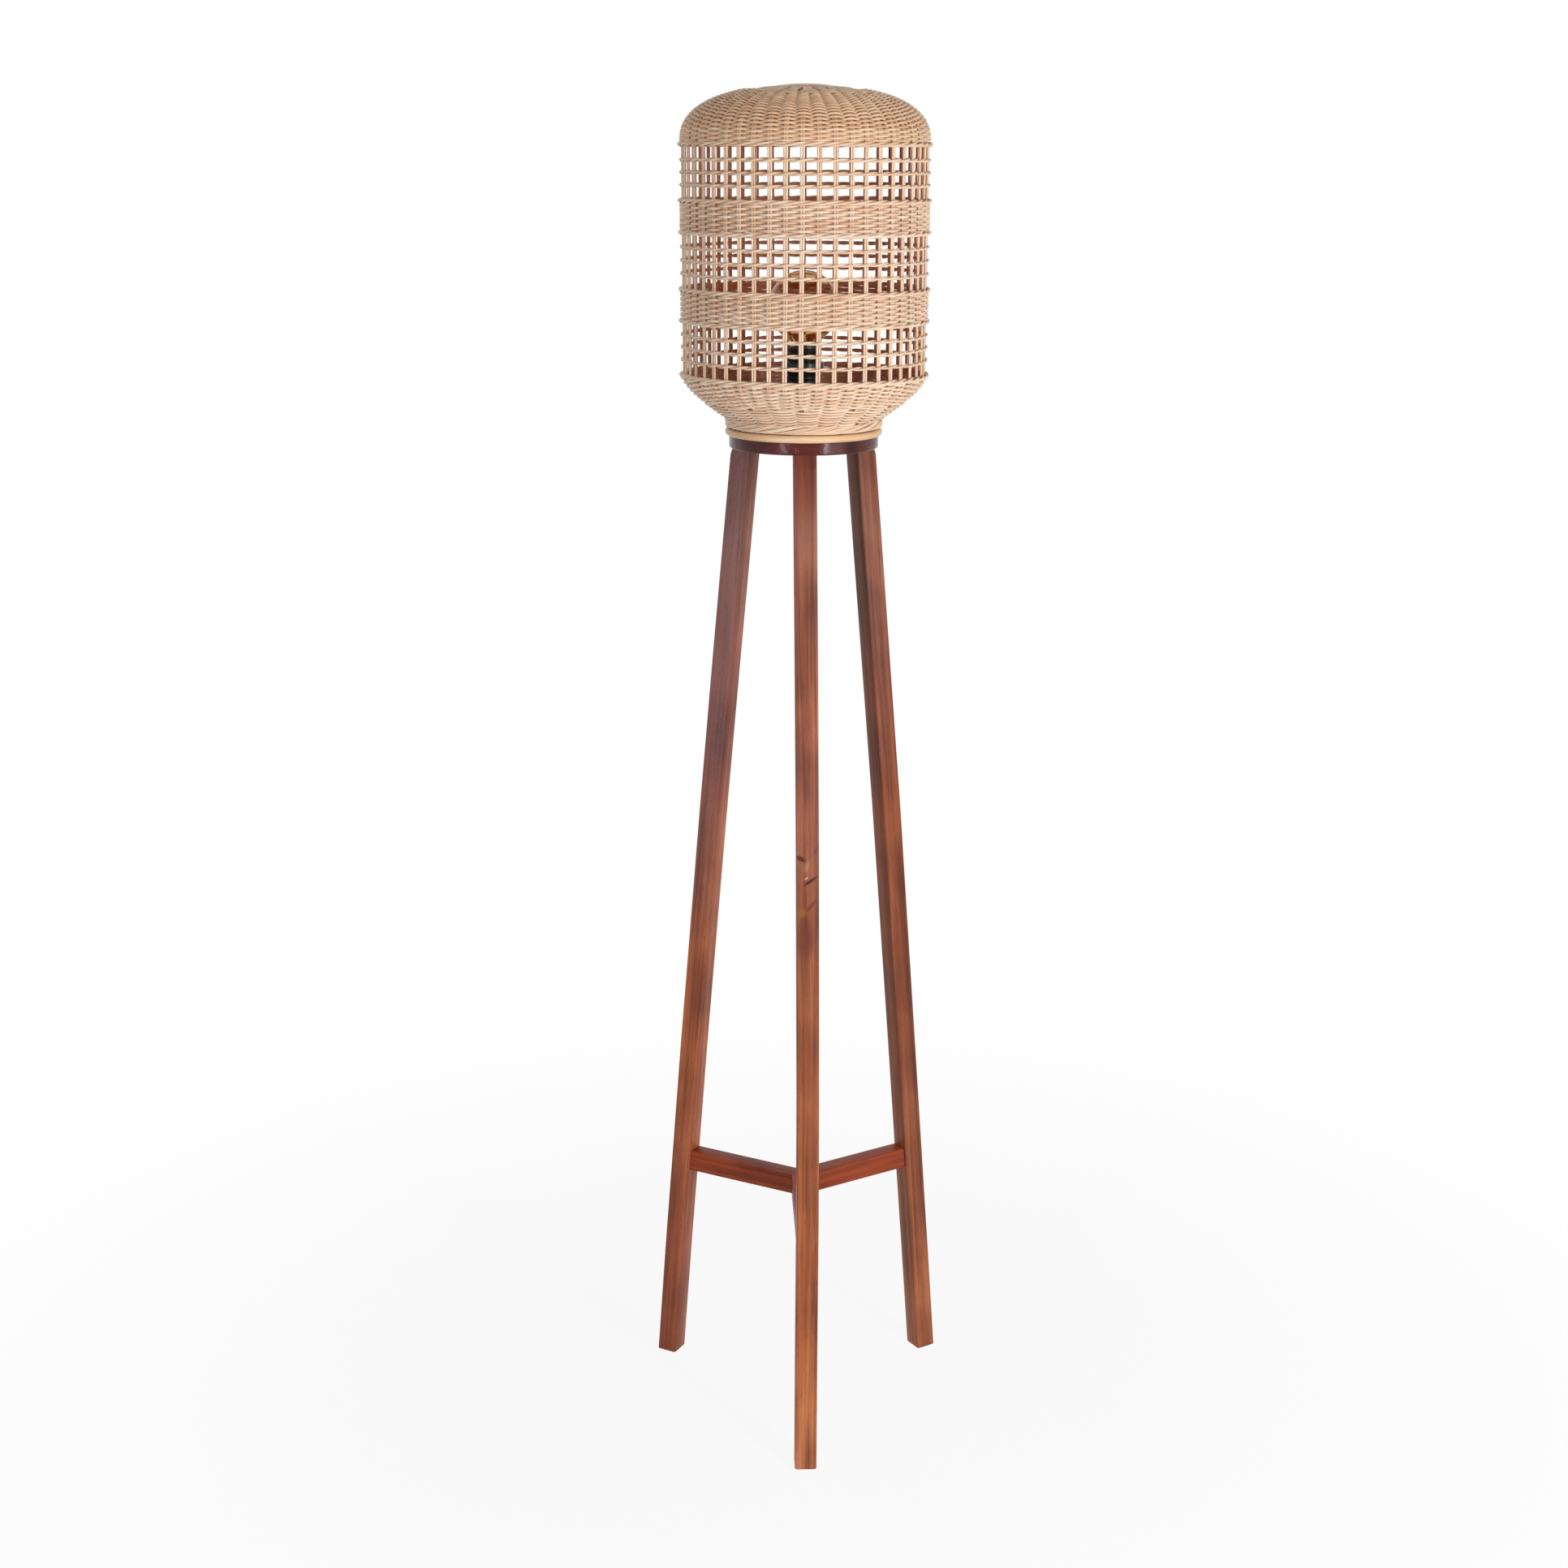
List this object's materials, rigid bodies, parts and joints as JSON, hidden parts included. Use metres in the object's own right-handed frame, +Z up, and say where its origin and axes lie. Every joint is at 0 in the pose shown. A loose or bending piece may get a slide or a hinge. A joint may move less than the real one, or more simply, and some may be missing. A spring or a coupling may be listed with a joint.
{
  "type": "rattan floor lamp",
  "caption": "Floor lamp with splayed wooden legs joined by a stretcher, a round wooden top and a hand-woven rattan shade over a globe bulb.",
  "frame": {"origin": "on the floor, in the middle of the lamp's extent; the lamp's own axis stands 31 mm behind it", "axes": "+Z up, -Y towards the front leg, +X towards the right leg as seen from the front"},
  "size_m": [0.3688, 0.3502, 1.6],
  "materials": {
    "leg_wood": "stained, satin",
    "stretcher_wood": "stained, satin",
    "disc_wood": "dark stain, gloss lacquer",
    "dowel_wood": "bare",
    "zinc_steel": "zinc plated",
    "black_phenolic": "gloss",
    "white_ceramic": "glazed ceramic",
    "brass": "stamped",
    "black_insulator": "opaque black glass",
    "amber_glass": "clear amber tint",
    "clear_glass": "clear",
    "filament_metal": "coated wire",
    "rattan": "peeled rattan core, satin",
    "rattan_pole": "smooth rattan pole, satin"
  },
  "bodies": {
    "stand": {"top_disc": "disc_wood", "leg_front": "leg_wood", "leg_left": "leg_wood", "leg_right": "leg_wood", "stretcher_front": "stretcher_wood", "stretcher_left": "stretcher_wood", "stretcher_right": "stretcher_wood", "leg_screw_front": "zinc_steel", "leg_screw_left": "zinc_steel", "leg_screw_right": "zinc_steel", "dowel_front": "dowel_wood", "dowel_left": "dowel_wood", "dowel_right": "dowel_wood", "threaded_nipple": "zinc_steel", "washer_lower": "zinc_steel", "lock_nut_lower": "zinc_steel", "washer_upper": "zinc_steel", "lock_nut_upper": "zinc_steel", "holder_cap": "black_phenolic", "holder_core": "white_ceramic", "centre_contact": "brass", "screw_shell": "brass", "holder_sleeve": "black_phenolic"},
    "shade": {"base_hoop": "rattan_pole", "base_border": "rattan", "bowl_weave": "rattan", "lower_band": "rattan", "upper_band": "rattan", "dome_weave": "rattan", "bowl_rope": "rattan", "lower_band_rope_bottom": "rattan", "lower_band_rope_top": "rattan", "upper_band_rope_bottom": "rattan", "upper_band_rope_top": "rattan", "dome_rope": "rattan", "lower_ring_1": "rattan", "lower_ring_2": "rattan", "lower_ring_3": "rattan", "middle_ring_1": "rattan", "middle_ring_2": "rattan", "middle_ring_3": "rattan", "upper_ring_1": "rattan", "upper_ring_2": "rattan", "upper_ring_3": "rattan", "stake_bundle_1": "rattan", "stake_bundle_2": "rattan", "stake_bundle_3": "rattan", "stake_bundle_4": "rattan"},
    "bulb": {"bulb_contact": "brass", "bulb_insulator": "black_insulator", "bulb_cap": "brass", "bulb_glass": "amber_glass", "glass_stem": "clear_glass", "filament": "filament_metal"},
    "flange_ring": {"shade_ring": "black_phenolic"}
  },
  "joints": [
    {"name": "shade_lift", "type": "slide", "parent": "stand", "child": "shade", "axis": [0, 0, 1], "range_m": [0, 0.25]},
    {"name": "bulb_unscrew", "type": "hinge", "parent": "stand", "child": "bulb", "pos_m": [0, 0.03137, 1.3], "axis": [0, 0, 1], "range_deg": [0, 1440]},
    {"name": "ring_turn", "type": "hinge", "parent": "stand", "child": "flange_ring", "pos_m": [0, 0.03137, 1.2918], "axis": [0, 0, 1], "range_deg": [-720, 1440]}
  ]
}
